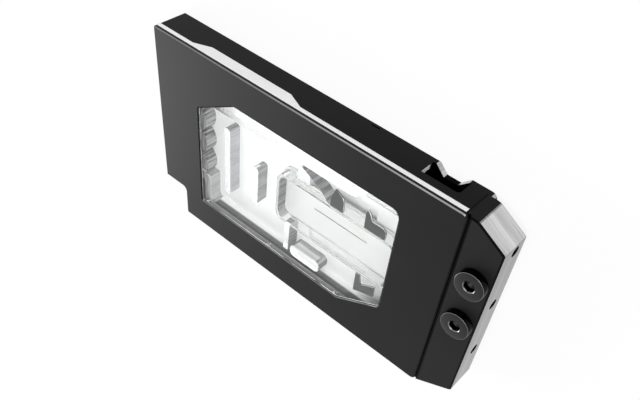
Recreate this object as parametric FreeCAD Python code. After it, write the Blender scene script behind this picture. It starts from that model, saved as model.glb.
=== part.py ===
import FreeCAD, Part

import math
import os

# A full-cover graphics-card water block, lying on its back with the faceplate up.
# Each piece is built in a corner frame: x from the block's left end towards the
# terminal, y from the bottom edge towards the light bar, z up from the rear rim.
# At the end every piece is moved so that the origin is the middle of the footprint.
# All lengths are millimetres.

vector = FreeCAD.Vector
axis_x = vector(1, 0, 0)
axis_z = vector(0, 0, 1)

# overall sizes
body_length = 219.5
terminal_length = 25.5
height = 135.0
total_depth = 24.5
slant_deg = 28.5

# faceplate
plate_thick = 2.3
plate_overlap = 2.5
plate_corner_r = 0.8
plate_right_r = 3.0
plate_edge_chamfer = 0.6
notch_width = 19.8
notch_height = 22.4
notch_inner_r = 3.0
window_left = 36.0
window_right_margin = 34.5
window_bottom = 22.0
window_top_margin = 21.5
window_cut_run = 30.5
window_corner_r = 2.5
window_big_r = 6.0
window_chamfer = 0.4
boss_r = 2.3
boss_height = 4.2

# light bar with its wider stretch, and the board of lamps behind it
bar_height = 2.8
bar_depth = 5.5
badge_start = 28.8
badge_length = 83.6
badge_ramp = 11.0
badge_drop = 4.8
badge_depth = 3.0
board_thick = 1.0
board_height = 5.6
board_end_gap = 6.0
board_lift = 1.4
chip_size = 3.5
chip_thick = 1.4
chip_count = 12
chip_row_inset = 10.0
lamp_channel_width = 3.2

# housing frame
side_wall = 8.0
bottom_wall = 7.0
top_band = 11.0
notch_wall = 6.0
ledge_width = 6.0
end_band = 5.5
chamber_r = 4.0
rim_chamfer = 0.5
skirt_thick = 3.0
tongue_reach = 4.5
tongue_thick = 4.0
tongue_r = 3.5
tongue_root = 10.0

# relief for the card's power plugs, in the top edge of the housing
relief_from_end = 30.0
relief_width = 19.7
relief_ramp = 5.8
relief_depth = 5.4
relief_lip = 3.4
relief_roof = 2.0
relief_open_left = 1.8
relief_open_right = 0.9
relief_corner_r = 2.0
relief_hollow_depth = 6.0
slot_before_relief = 42.2
slot_length = 5.5
slot_width = 0.9
slot_depth = 1.5
slot_z = 2.2

# clear channel block
block_gap = 0.15
channel_depth = 8.2
channel_wall = 1.2
block_lift = 0.05
pad_gap = 0.2
pad_drop = 0.6
pad_chamfer = 0.3
channel_left_under_plate = 6.0
channel_head_below_window = 13.0
channel_head_rise = 5.9
channel_head_from_chip = 11.0
channel_head_ramp = 6.0
scallop_r = 9.5
scallop_pitch = 17.0
scallop_first_from_chip = -15.3
scallop_count = 3
island_r = 2.0
rib_width = 5.0
long_rib_from_ring = 44.6
long_rib_below_chip = 26.4
long_rib_above_chip = 24.5
short_rib_from_ring = 20.4
short_rib_below_chip = 19.2
short_rib_above_chip = 9.1
divider_from_chip = -36.0
divider_gap = 4.5
divider_width = 4.0
guide_left_from_chip = 32.5
guide_tip_from_chip = 27.1
guide_shoulder_from_chip = 11.9
guide_right_from_chip = 3.8
guide_reach = 14.0
guide_shoulder_drop = 7.8
guide_tip_r = 1.0
guide_shoulder_r = 4.0
foot_island_from_chip = -30.0
foot_island_length = 24.0
foot_island_width = 9.0
foot_island_gap = 2.5
foot_island_r = 3.5

# baffles let into the channel's ceiling: corners from the chip's middle, and corner radii
baffle_thick = 1.8
baffle_drop = 0.6
baffle_gap = 0.05
upper_left_baffle = [(-3.4, 18.7, 0), (-3.4, 23.2, 0), (-1.0, 31.8, 0.3), (5.7, 27.9, 5.0),
                     (5.9, 18.7, 0)]
upper_right_baffle = [(21.2, 18.7, 0), (21.0, 28.5, 0), (21.8, 31.9, 0), (23.9, 29.7, 0),
                      (25.7, 25.8, 0), (32.8, 26.0, 1.5), (35.3, 24.4, 1.0), (35.5, 18.7, 0)]
lower_baffle = [(21.4, -18.5, 0), (24.5, -18.5, 0), (25.8, -25.2, 0), (35.5, -20.3, 0),
                (35.8, -28.1, 0), (25.2, -31.1, 0), (21.6, -32.7, 0)]

# jet chamber over the graphics chip
chip_from_end = 75.0
chip_below_middle = 0.5
ring_length = 89.0
ring_width = 36.0
ring_wall = 2.0
ring_r = 6.0
ring_feed_width = 9.0
jet_gasket_thick = 0.6
jet_gasket_inset = 0.5
jet_plate_thick = 1.0
jet_plate_margin = 1.0
jet_slot_length = 40.0
jet_slot_width = 0.8

# cold plate
rear_recess = 3.6
cold_plate_thick = 5.0
cold_plate_gap = 0.3
cold_plate_r = 3.5
fin_field_length = 44.0
fin_length = 34.0
fin_thick = 0.55
fin_pitch = 1.2
fin_pocket_side = 1.0
fin_pocket_width = 56.0
fin_pocket_depth = 3.2
chip_pad_size = 40.0
chip_pad_height = 0.9
memory_land_length = 14.0
memory_land_width = 13.0
memory_land_height = 0.6
memory_land_gap = 4.0
memory_ring_offset = 34.0
power_land_width = 9.0
power_land_below_chip = 24.7
power_land_top_gap = 10.4
power_land_height = 1.2
power_land_x = 64.0
second_power_land_from_chip = 46.0
coil_relief_width = 13.0
coil_relief_depth = 1.6

# seals
seal_inset = 7.6
seal_width = 2.0
seal_thick = 1.6
seal_r = 6.0
groove_gap = 0.2

# screws of the cold plate, M3 with countersunk heads
plate_screw_d = 2.9
plate_screw_hole_d = 3.0
plate_screw_clear_d = 3.4
plate_screw_head_d = 6.0
plate_screw_length = 12.0
plate_screw_inset = 3.9
csk_clear = 0.1
hex_socket_share = 0.33

# screws that hold the faceplate, M2.5 with cylinder heads
face_screw_d = 2.4
face_screw_hole_d = 2.5
face_screw_clear_d = 2.9
face_screw_head_d = 4.4
face_screw_head_h = 2.5
face_screw_sink = 3.0
face_screw_head_gap = 0.2
face_screw_stop = 1.2
wall_screw_from_notch = 26.0
wall_screw_from_end = 40.0
ledge_screw_from_wall = 32.0
ledge_screw_from_end = 36.0

# standoffs that carry the card
standoff_d = 5.5
standoff_height = 2.4
standoff_spigot_d = 3.6
standoff_spigot_length = 2.0
standoff_thread_d = 2.5
standoff_pitch = 64.0
standoff_end_inset = 13.0
standoff_end_above_chip = 34.0

# terminal with its two G1/4 ports
terminal_drop = 0.4
terminal_end_cut = 10.2
terminal_end_cut_deg = 30.0
terminal_foot_land = 2.3
terminal_shoulder_r = 8.0
terminal_corner_r = 1.5
terminal_foot_r = 2.0
terminal_edge_chamfer = 0.9
rebate_gap = 0.9
port_from_end = 9.5
port_above_middle = 1.5
port_spacing = 31.0
port_r = 6.58
port_thread_depth = 7.0
port_core_r = 5.2
port_face_r = 8.6
port_face_depth = 0.6
passage_r = 3.75
ring_groove_inner_r = 4.4
ring_groove_outer_r = 6.2
ring_groove_depth = 1.3
ring_groove_cover = 0.6

# terminal screws, M3 with cylinder heads
end_screw_below_chamber_top = 4.0
end_screw_below_port = 27.4
end_screw_above_port = 11.75
end_screw_above_tongue = 7.8
end_screw_d = 2.9
end_screw_hole_d = 3.0
end_screw_clear_d = 3.4
end_screw_head_d = 5.5
end_screw_head_h = 3.0
end_screw_sink = 6.0
end_screw_head_gap = 0.4
end_screw_grip = 12.5
end_screw_tip_gap = 1.5

# stop plugs
plug_head_r = 8.5
plug_head_thick = 4.4
plug_seat_gap = 0.4
plug_chamfer = 0.3
plug_thread_r = 6.5
plug_thread_length = 4.6
plug_hex = 6.0
plug_hex_depth = 3.4
plug_socket_lead_r = 3.65
plug_socket_lead_depth = 0.65
plug_ring_inner_r = 6.6
plug_ring_outer_r = 8.1
plug_ring_thick = 1.5

# levels and places that follow from the sizes above
slant = math.tan(math.radians(slant_deg))
end_slope = math.tan(math.radians(terminal_end_cut_deg))
overall_length = body_length + terminal_length
plate_length = body_length + plate_overlap
window_right = plate_length - window_right_margin
window_top = height - window_top_margin
plate_back = total_depth - plate_thick
bar_back = plate_back - bar_height
cold_rear = rear_recess
cold_front = cold_rear + cold_plate_thick
block_rear = cold_front + block_lift
pad_top = total_depth - pad_drop
chip_x = body_length - chip_from_end
chip_y = height / 2 - chip_below_middle
power_land_bottom = chip_y - power_land_below_chip
channel_top = cold_front + channel_depth
terminal_rear = tongue_thick
terminal_front = total_depth - terminal_drop
terminal_foot_cut = (terminal_length - terminal_foot_land) * slant
chamber_top = height - top_band
power_land_top = chamber_top - ledge_width - cold_plate_gap - power_land_top_gap
bar_inner_y = height - bar_depth
lamp_channel_y = bar_inner_y - lamp_channel_width
board_level = bar_back - badge_drop + board_lift
relief_start = body_length - relief_from_end
relief_top = board_level - relief_roof
slot_start = relief_start - slot_before_relief
port_x = overall_length - port_from_end
port_y = height / 2 + port_above_middle
port_places = [port_y, port_y + port_spacing]
port_names = ["outlet", "inlet"]
passage_z = plate_back - ring_groove_outer_r - ring_groove_cover
end_screw_z = terminal_rear + end_screw_above_tongue
end_screw_seat = overall_length - end_screw_sink
end_screw_tip = body_length - end_screw_grip
end_screw_y = [port_y - end_screw_below_port, port_y + end_screw_above_port,
               chamber_top - end_screw_below_chamber_top]
seal_line = ledge_width + cold_plate_gap + seal_inset
channel_inset = seal_line + seal_width / 2 + groove_gap / 2 + channel_wall
channel_right = body_length - end_band - (channel_inset - ledge_width)
channel_left = window_left - channel_left_under_plate
channel_bottom = bottom_wall + channel_inset
channel_head = window_top - channel_head_below_window
channel_step_x = notch_width + notch_wall + channel_inset
channel_step_y = notch_height + notch_wall + channel_inset
ring_left = chip_x - ring_length / 2
ring_bottom = chip_y - ring_width / 2
ring_top = chip_y + ring_width / 2
face_screw_r = face_screw_d / 2
end_screw_r = end_screw_d / 2


def box(x0, x1, y0, y1, z0, z1):
    return Part.makeBox(x1 - x0, y1 - y0, z1 - z0, vector(x0, y0, z0))


def rod(x, y, z0, z1, radius):
    return Part.makeCylinder(radius, z1 - z0, vector(x, y, z0), axis_z)


def rod_x(x0, x1, y, z, radius):
    return Part.makeCylinder(radius, x1 - x0, vector(x0, y, z), axis_x)


def rounded_face(corners):
    """A flat face whose corners (x, y, radius) are joined by lines and tangent arcs."""
    count = len(corners)
    starts, ends, mids = [], [], []
    for i, (x, y, radius) in enumerate(corners):
        here = vector(x, y, 0)
        before = vector(*corners[i - 1][:2], 0) - here
        after = vector(*corners[(i + 1) % count][:2], 0) - here
        before.normalize()
        after.normalize()
        half = before.getAngle(after) / 2
        reach = radius / math.tan(half)
        middle = before + after
        middle.normalize()
        starts.append(here + before * reach)
        ends.append(here + after * reach)
        mids.append(here + middle * (radius / math.sin(half) - radius))
    edges = []
    for i in range(count):
        if corners[i][2] > 0:
            edges.append(Part.Arc(starts[i], mids[i], ends[i]).toShape())
        edges.append(Part.makeLine(ends[i], starts[(i + 1) % count]))
    return Part.Face(Part.Wire(edges))


def prism(corners, z0, z1):
    face = rounded_face(corners)
    face.translate(vector(0, 0, z0))
    return face.extrude(vector(0, 0, z1 - z0))


def rounded_box(x0, x1, y0, y1, z0, z1, radius):
    corners = [(x0, y0, radius), (x0, y1, radius), (x1, y1, radius), (x1, y0, radius)]
    return prism(corners, z0, z1)


def notched(inset, radius, z0, z1, right=None):
    """The chamber's L-shaped outline, drawn in by inset from the housing's inner walls."""
    left = side_wall + inset
    bottom = bottom_wall + inset
    top = chamber_top - inset
    step_x = notch_width + notch_wall + inset
    step_y = notch_height + notch_wall + inset
    if right is None:
        right = body_length - end_band - (inset - ledge_width)
    corners = [(left, step_y, radius), (left, top, radius), (right, top, radius),
               (right, bottom, radius), (step_x, bottom, radius), (step_x, step_y, radius)]
    return prism(corners, z0, z1)


def body_outline(length, left_r, right_r, z0, z1):
    corners = [(0, notch_height, left_r), (0, height, left_r), (length, height, right_r),
               (length, 0, right_r), (notch_width, 0, left_r),
               (notch_width, notch_height, notch_inner_r)]
    return prism(corners, z0, z1)


def chamfer_at(shape, size, z, keep=lambda edge: True):
    """Chamfer the edges of a solid that lie in the plane z."""
    edges = []
    for edge in shape.Edges:
        bounds = edge.BoundBox
        if abs(bounds.ZMin - z) < 1e-4 and abs(bounds.ZMax - z) < 1e-4 and keep(edge):
            edges.append(edge)
    return shape.makeChamfer(size, edges)


def spread(first, last, count):
    return [first + (last - first) * i / (count - 1) for i in range(count)]


# places of the fasteners

def plate_screw_places():
    """M3 screws all round the cold plate, at one inset from its edge."""
    edge = ledge_width + cold_plate_gap + plate_screw_inset
    left = side_wall + edge
    bottom = bottom_wall + edge
    top = chamber_top - edge
    right = body_length - end_band - cold_plate_gap - plate_screw_inset
    step_x = notch_width + notch_wall + edge
    step_y = notch_height + notch_wall + edge
    places = [(x, top) for x in spread(left, right, 5)]
    places += [(x, bottom) for x in spread(step_x, right, 4)]
    places += [(left, y) for y in (step_y, (step_y + top) / 2)]
    between = (port_places[0] + port_places[1]) / 2
    places += [(right, between), (right, (bottom + port_y) / 2 + plate_screw_head_d)]
    return places


def face_screw_places():
    """M2.5 screws up through the housing's walls and ledge into the faceplate's bosses."""
    wall_x = side_wall / 2
    wall_y = bottom_wall / 2
    ledge_y = chamber_top - boss_r - block_gap - 0.4
    places = [(wall_x, height * 0.35), (wall_x, height * 0.85)]
    first = notch_width + wall_screw_from_notch
    last = body_length - wall_screw_from_end
    places += [(x, wall_y) for x in spread(first, last, 2)]
    first = side_wall + ledge_screw_from_wall
    last = body_length - ledge_screw_from_end
    places += [(x, ledge_y) for x in spread(first, last, 2)]
    return places


def memory_land_places():
    """Memory chips in a row above, below and at both sides of the graphics chip."""
    step = memory_land_length + memory_land_gap
    places = []
    for side in (-1, 1):
        for i in (-1, 0, 1):
            places.append((chip_x + i * step, chip_y + side * memory_ring_offset, True))
    for i in (-0.5, 0.5):
        places.append((chip_x - memory_ring_offset, chip_y + i * step, False))
    return places


def standoff_places():
    half = standoff_pitch / 2
    places = [(chip_x + sx * half, chip_y + sy * half) for sx in (-1, 1) for sy in (-1, 1)]
    left = side_wall + ledge_width + standoff_end_inset
    places += [(left, chip_y + standoff_end_above_chip), (left, chip_y)]
    return places


# front pieces

def window_shape(inset, z0, z1):
    """The six-sided window as a solid, drawn in by inset on every side."""
    rise = window_cut_run * slant
    face = rounded_face([
        (window_left, window_bottom, window_corner_r),
        (window_left, window_top - rise, window_corner_r),
        (window_left + window_cut_run, window_top, window_corner_r),
        (window_right, window_top, window_big_r),
        (window_right, window_bottom + rise, window_corner_r),
        (window_right - window_cut_run, window_bottom, window_corner_r),
    ])
    if inset:
        face = face.makeOffset2D(-inset)
    face.translate(vector(0, 0, z0))
    return face.extrude(vector(0, 0, z1 - z0))


def make_faceplate():
    plate = body_outline(plate_length, plate_corner_r, plate_right_r, plate_back, total_depth)
    window = window_shape(0, plate_back, total_depth)
    plate = chamfer_at(plate, plate_edge_chamfer, total_depth)
    plate = plate.cut(window)
    inner = [edge for edge in plate.Edges
             if abs(edge.BoundBox.ZMin - total_depth) < 1e-4
             and edge.BoundBox.XMin > window_left - 1
             and edge.BoundBox.XMax < window_right + 1
             and edge.BoundBox.YMin > window_bottom - 1
             and edge.BoundBox.YMax < window_top + 1]
    plate = plate.makeChamfer(window_chamfer, inner)
    for x, y in face_screw_places():
        plate = plate.fuse(rod(x, y, plate_back - boss_height, plate_back, boss_r))
    for x, y in face_screw_places():
        hole_top = total_depth - face_screw_stop
        plate = plate.cut(rod(x, y, plate_back - boss_height, hole_top, face_screw_hole_d / 2))
    return plate.removeSplitter()


def badge(depth_start, extra):
    """The trapezoid where the light bar widens, as seen on the top edge."""
    low = bar_back - badge_drop - extra
    left = badge_start - extra
    right = badge_start + badge_length + extra
    points = [vector(left, depth_start, bar_back), vector(left + badge_ramp, depth_start, low),
              vector(right - badge_ramp, depth_start, low), vector(right, depth_start, bar_back)]
    face = Part.Face(Part.makePolygon(points + points[:1]))
    return face.extrude(vector(0, height - depth_start, 0))


def make_light_bar():
    bar = box(0, body_length, bar_inner_y, height, bar_back, plate_back)
    return bar.fuse(badge(height - badge_depth, 0)).removeSplitter()


def make_led_board():
    return box(board_end_gap + 1, body_length - board_end_gap - 1, lamp_channel_y,
               lamp_channel_y + board_thick, board_level, board_level + board_height)


def make_led_chips():
    z0 = board_level + (board_height - chip_size) / 2
    y0 = lamp_channel_y + board_thick
    chips = []
    first = board_end_gap + chip_row_inset
    for x in spread(first, body_length - first, chip_count):
        chips.append(box(x - chip_size / 2, x + chip_size / 2, y0, y0 + chip_thick,
                         z0, z0 + chip_size))
    return Part.makeCompound(chips)


# housing

def power_relief():
    """Opening in the skirt, the hollow behind it, and the sloped notch in the rear lip."""
    end = relief_start + relief_width
    left = relief_start - relief_open_left
    right = end + relief_open_right
    skirt_back = height - skirt_thick
    face = rounded_face([(left, relief_lip, 0), (left, relief_top, 0),
                         (right, relief_top, relief_corner_r), (right, relief_lip, 0)])
    face.rotate(vector(0, 0, 0), axis_x, 90)
    face.translate(vector(0, height + 5, 0))
    opening = face.extrude(vector(0, -skirt_thick - 6, 0))
    hollow = rounded_box(relief_start - relief_ramp, right, skirt_back - relief_hollow_depth,
                         skirt_back, relief_lip, relief_top, 1.5)
    notch = prism([(relief_start - 1, height + relief_depth / relief_ramp, 0),
                   (relief_start + relief_ramp, height - relief_depth, 1.0),
                   (end - relief_ramp, height - relief_depth, 1.0),
                   (end + 1, height + relief_depth / relief_ramp, 0)], -1, relief_lip)
    return opening.fuse(hollow).fuse(notch)


def make_housing():
    frame = body_outline(body_length, plate_corner_r, 0, 0, plate_back)
    root = body_length - tongue_root
    tongue = prism([(root, 0, 0), (root, height, 0),
                    (body_length + tongue_reach, height, tongue_r),
                    (body_length + tongue_reach, 0, tongue_r)], 0, tongue_thick)
    frame = frame.fuse(tongue).removeSplitter()
    frame = chamfer_at(frame, rim_chamfer, 0)
    # the clear block's seat opens to the right, and the cold plate's opening is smaller
    frame = frame.cut(notched(0, chamber_r, cold_front, plate_back, body_length + chamber_r * 3))
    frame = frame.cut(notched(ledge_width, cold_plate_r, -1, cold_front))
    # seat of the light bar and the channel behind it
    frame = frame.cut(box(-1, body_length + 1, bar_inner_y, height + 1, bar_back, plate_back))
    frame = frame.cut(badge(height - badge_depth, 0.1))
    frame = frame.cut(box(board_end_gap, body_length - board_end_gap, lamp_channel_y,
                          bar_inner_y, board_level, plate_back))
    frame = frame.cut(power_relief())
    frame = frame.cut(box(slot_start, slot_start + slot_length, height - slot_depth, height + 1,
                          slot_z, slot_z + slot_width))
    for x, y in face_screw_places():
        head_top = face_screw_sink + face_screw_head_h
        frame = frame.cut(rod(x, y, -1, head_top, face_screw_head_d / 2 + face_screw_head_gap))
        frame = frame.cut(rod(x, y, 0, plate_back, face_screw_clear_d / 2))
        frame = frame.cut(rod(x, y, plate_back - boss_height, plate_back, boss_r + block_gap))
    return frame.removeSplitter()


# clear block

def channel_field():
    """The whole milled hollow, with scallops on its left wall and a wider head at the right."""
    low = cold_front
    top = channel_top
    head_x = chip_x + channel_head_from_chip
    head_y = channel_head + channel_head_rise
    field = prism([
        (channel_left, channel_step_y, 1.0), (channel_left, channel_head, chamber_r),
        (head_x, channel_head, chamber_r), (head_x + channel_head_ramp, head_y, chamber_r),
        (channel_right, head_y, chamber_r), (channel_right, channel_bottom, chamber_r),
        (channel_step_x, channel_bottom, chamber_r), (channel_step_x, channel_step_y, 1.0),
    ], low, top)
    for i in range(scallop_count):
        y = chip_y + scallop_first_from_chip + i * scallop_pitch
        field = field.cut(rod(channel_left, y, low, top, scallop_r))
    return field


def ribs():
    """Two upright ribs that turn the water back and forth over the power stages."""
    shapes = []
    for from_ring, below, above in (
            (long_rib_from_ring, long_rib_below_chip, long_rib_above_chip),
            (short_rib_from_ring, short_rib_below_chip, short_rib_above_chip)):
        x0 = ring_left - from_ring
        shapes.append(rounded_box(x0, x0 + rib_width, chip_y - below, chip_y + above,
                                  cold_front, channel_top, island_r))
    return shapes


def lower_islands():
    """The divider between the jet ring and the lower wall, and the long island beside it."""
    x = chip_x + divider_from_chip
    divider = box(x, x + divider_width, channel_bottom + divider_gap, ring_bottom + 1,
                  cold_front, channel_top)
    x = chip_x + foot_island_from_chip
    y = channel_bottom + foot_island_gap
    island = rounded_box(x, x + foot_island_length, y, y + foot_island_width,
                         cold_front, channel_top, foot_island_r)
    return [divider, island]


def upper_guide():
    """The wedge on the ring's upper side, which turns the water along the head wall."""
    near = ring_top - 1
    far = ring_top + guide_reach
    return prism([(chip_x - guide_left_from_chip, near, 0),
                  (chip_x - guide_tip_from_chip, far, guide_tip_r),
                  (chip_x - guide_shoulder_from_chip, far - guide_shoulder_drop,
                   guide_shoulder_r),
                  (chip_x - guide_right_from_chip, near, 0)],
                 cold_front, channel_top)


def islands():
    """Solid stretches that stay between the milled channels."""
    return ribs() + lower_islands() + [upper_guide()]


def ring_box(inset, z0, z1, radius):
    half_l = ring_length / 2 - inset
    half_w = ring_width / 2 - inset
    return rounded_box(chip_x - half_l, chip_x + half_l, chip_y - half_w, chip_y + half_w,
                       z0, z1, radius)


def jet_ring():
    """The wall round the jet chamber, with a gap for the water at its right end."""
    bottom = cold_front + jet_plate_thick + jet_gasket_thick
    wall = ring_box(0, bottom, channel_top, ring_r)
    wall = wall.cut(ring_box(ring_wall, bottom, channel_top, ring_r - ring_wall / 2))
    end = chip_x + ring_length / 2
    gap = box(end - ring_wall - 1, end + 1, port_y - ring_feed_width / 2,
              port_y + ring_feed_width / 2, bottom, channel_top)
    return wall.cut(gap)


def feed_walls():
    """Two walls that lead the water from the outlet port's passage to the jet chamber."""
    end = chip_x + ring_length / 2 - 0.5
    right = channel_right + 1
    half = ring_feed_width / 2
    walls = []
    for y0 in (port_y - half - rib_width * 0.6, port_y + half):
        walls.append(box(end, right, y0, y0 + rib_width * 0.6, cold_front, channel_top))
    return walls


def baffle(outline, gap=0):
    """A flat plate let into the channel's ceiling. A gap turns it into the pocket it fills."""
    face = rounded_face([(chip_x + x, chip_y + y, radius) for x, y, radius in outline])
    if gap:
        face = face.makeOffset2D(gap)
    face.translate(vector(0, 0, channel_top - baffle_drop - gap))
    return face.extrude(vector(0, 0, baffle_thick + 2 * gap))


def make_window_block():
    block = notched(block_gap, chamber_r, block_rear, plate_back, body_length + chamber_r * 3)
    block = block.common(box(0, body_length, 0, height, block_rear, plate_back))
    pad = window_shape(pad_gap, plate_back - 1, pad_top)
    block = block.fuse(chamfer_at(pad, pad_chamfer, pad_top))
    channels = channel_field()
    for island in islands() + feed_walls() + [jet_ring()]:
        channels = channels.cut(island)
    block = block.cut(channels)
    for outline in (upper_left_baffle, upper_right_baffle, lower_baffle):
        block = block.cut(baffle(outline, baffle_gap))
    seat_top = cold_front + jet_plate_thick + jet_gasket_thick
    block = block.cut(ring_box(-jet_plate_margin - block_gap, cold_front, seat_top, ring_r))
    block = block.cut(seal_loop(groove_gap / 2))
    for y in port_places:
        block = block.cut(rod_x(channel_right - 2, body_length + 1, y, passage_z, passage_r))
    for y in end_screw_y:
        block = block.cut(rod_x(end_screw_tip - end_screw_tip_gap, body_length + 1, y,
                                end_screw_z, end_screw_hole_d / 2))
    for x, y in plate_screw_places():
        hole_top = cold_rear + plate_screw_length + 1
        block = block.cut(rod(x, y, cold_front, hole_top, plate_screw_hole_d / 2))
    for x, y in face_screw_places():
        block = block.cut(rod(x, y, cold_front, plate_back, face_screw_clear_d / 2))
        block = block.cut(rod(x, y, plate_back - boss_height, plate_back, boss_r + block_gap))
    return block.removeSplitter()


# seals

def seal_loop(extra):
    """The main seal's closed band, and its groove where extra widens it."""
    half = seal_width / 2 + extra
    outer = notched(seal_line - half, seal_r + half, cold_front, cold_front + seal_thick)
    inner = notched(seal_line + half, seal_r - half, cold_front, cold_front + seal_thick)
    return outer.cut(inner)


def make_jet_gasket():
    z0 = cold_front + jet_plate_thick
    z1 = z0 + jet_gasket_thick
    outer = ring_box(jet_gasket_inset, z0, z1, ring_r - jet_gasket_inset)
    inner = ring_box(ring_wall - jet_gasket_inset, z0, z1, ring_r - ring_wall + 1)
    return outer.cut(inner)


def make_port_seal(y):
    x1 = body_length + ring_groove_depth
    outer = rod_x(body_length, x1, y, passage_z, ring_groove_outer_r - groove_gap / 2)
    inner = rod_x(body_length, x1, y, passage_z, ring_groove_inner_r + groove_gap / 2)
    return outer.cut(inner)


# cold plate

def make_jet_plate():
    z0 = cold_front
    z1 = z0 + jet_plate_thick
    plate = ring_box(-jet_plate_margin, z0, z1, ring_r)
    slot = rounded_box(chip_x - jet_slot_length / 2, chip_x + jet_slot_length / 2,
                       chip_y - jet_slot_width / 2, chip_y + jet_slot_width / 2,
                       z0, z1, jet_slot_width * 0.45)
    return plate.cut(slot)


def fin_field(plate):
    """A milled pocket with a comb of thin upright fins over the graphics chip."""
    half_l = fin_field_length / 2 + fin_pocket_side
    half_w = fin_pocket_width / 2
    floor = cold_front - fin_pocket_depth
    pocket = rounded_box(chip_x - half_l, chip_x + half_l, chip_y - half_w, chip_y + half_w,
                         floor, cold_front, 3.0)
    count = int(fin_field_length / fin_pitch)
    first = chip_x - (count - 1) * fin_pitch / 2
    for i in range(count):
        x = first + i * fin_pitch
        fin = box(x - fin_thick / 2, x + fin_thick / 2, chip_y - fin_length / 2,
                  chip_y + fin_length / 2, floor, cold_front)
        pocket = pocket.cut(fin)
    return plate.cut(pocket)


def rear_lands():
    """Raised lands on the card's side: chip, memory and power stages."""
    half = chip_pad_size / 2
    lands = [rounded_box(chip_x - half, chip_x + half, chip_y - half, chip_y + half,
                         cold_rear - chip_pad_height, cold_rear, 2.0)]
    for x, y, flat in memory_land_places():
        length = memory_land_length if flat else memory_land_width
        width = memory_land_width if flat else memory_land_length
        lands.append(box(x - length / 2, x + length / 2, y - width / 2, y + width / 2,
                         cold_rear - memory_land_height, cold_rear))
    for x in (power_land_x, chip_x + second_power_land_from_chip):
        lands.append(rounded_box(x - power_land_width / 2, x + power_land_width / 2,
                                 power_land_bottom, power_land_top,
                                 cold_rear - power_land_height, cold_rear, 2.0))
    return lands


def make_cold_plate():
    plate = notched(ledge_width + cold_plate_gap, cold_plate_r, cold_rear, cold_front)
    for land in rear_lands():
        plate = plate.fuse(land)
    plate = fin_field(plate.removeSplitter())
    coil_x = power_land_x - power_land_width / 2 - coil_relief_width - 3
    plate = plate.cut(rounded_box(coil_x, coil_x + coil_relief_width, power_land_bottom,
                                  power_land_top, cold_rear, cold_rear + coil_relief_depth, 3.0))
    for x, y in plate_screw_places():
        plate = plate.cut(rod(x, y, cold_rear, cold_front, plate_screw_clear_d / 2))
        plate = plate.cut(countersink(x, y, csk_clear))
    for x, y in standoff_places():
        plate = plate.cut(rod(x, y, cold_rear, cold_rear + standoff_spigot_length,
                              standoff_spigot_d / 2))
    return plate.removeSplitter()


# fasteners

def countersink(x, y, extra):
    """The 90 degree cone of a countersunk head, point up, flush with the plate's rear."""
    top_r = plate_screw_d / 2
    base_r = plate_screw_head_d / 2 + extra
    return Part.makeCone(base_r, top_r, base_r - top_r, vector(x, y, cold_rear), axis_z)


def hex_prism(x, y, z0, z1, across):
    radius = across / math.sqrt(3)
    points = [vector(x + radius * math.cos(math.radians(60 * i)),
                     y + radius * math.sin(math.radians(60 * i)), z0) for i in range(6)]
    face = Part.Face(Part.makePolygon(points + points[:1]))
    return face.extrude(vector(0, 0, z1 - z0))


def make_plate_screws():
    screws = []
    for x, y in plate_screw_places():
        shank = rod(x, y, cold_rear, cold_rear + plate_screw_length, plate_screw_d / 2)
        screw = shank.fuse(countersink(x, y, 0)).removeSplitter()
        socket = hex_prism(x, y, cold_rear, cold_rear + 1.3, plate_screw_head_d * hex_socket_share)
        screws.append(screw.cut(socket))
    return Part.makeCompound(screws)


def make_face_screws():
    screws = []
    seat = face_screw_sink + face_screw_head_h
    tip = total_depth - face_screw_stop - 0.8
    for x, y in face_screw_places():
        head = rod(x, y, face_screw_sink, seat, face_screw_head_d / 2)
        screw = head.fuse(rod(x, y, seat, tip, face_screw_r)).removeSplitter()
        socket = hex_prism(x, y, face_screw_sink, face_screw_sink + 1.2,
                           face_screw_head_d * hex_socket_share * 1.3)
        screws.append(screw.cut(socket))
    return Part.makeCompound(screws)


def make_standoffs():
    posts = []
    for x, y in standoff_places():
        post = rod(x, y, cold_rear - standoff_height, cold_rear, standoff_d / 2)
        post = post.fuse(rod(x, y, cold_rear, cold_rear + standoff_spigot_length,
                             standoff_spigot_d / 2)).removeSplitter()
        thread = rod(x, y, cold_rear - standoff_height, cold_rear + 1, standoff_thread_d / 2)
        posts.append(post.cut(thread))
    return Part.makeCompound(posts)


def make_end_screws():
    screws = []
    seat = end_screw_seat
    for y in end_screw_y:
        head = rod_x(seat, seat + end_screw_head_h, y, end_screw_z, end_screw_head_d / 2)
        shank = rod_x(end_screw_tip, seat, y, end_screw_z, end_screw_r)
        socket = hex_prism(0, 0, 0, 1.6, end_screw_head_d * hex_socket_share * 1.3)
        socket.rotate(vector(0, 0, 0), vector(0, 1, 0), 90)
        socket.translate(vector(seat + end_screw_head_h - 1.6, y, end_screw_z))
        screws.append(head.fuse(shank).removeSplitter().cut(socket))
    return Part.makeCompound(screws)


# terminal

def port_bore(y):
    """Threaded from both faces, with a narrower core that the cross passage enters."""
    face_z = terminal_rear + port_face_depth
    bore = rod(port_x, y, terminal_rear, face_z, port_face_r)
    bore = bore.fuse(rod(port_x, y, face_z, face_z + port_thread_depth, port_r))
    bore = bore.fuse(rod(port_x, y, terminal_rear, terminal_front, port_core_r))
    plug_stop = terminal_front - plug_thread_length - 2 * plug_seat_gap
    return bore.fuse(rod(port_x, y, plug_stop, terminal_front, port_r))


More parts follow.
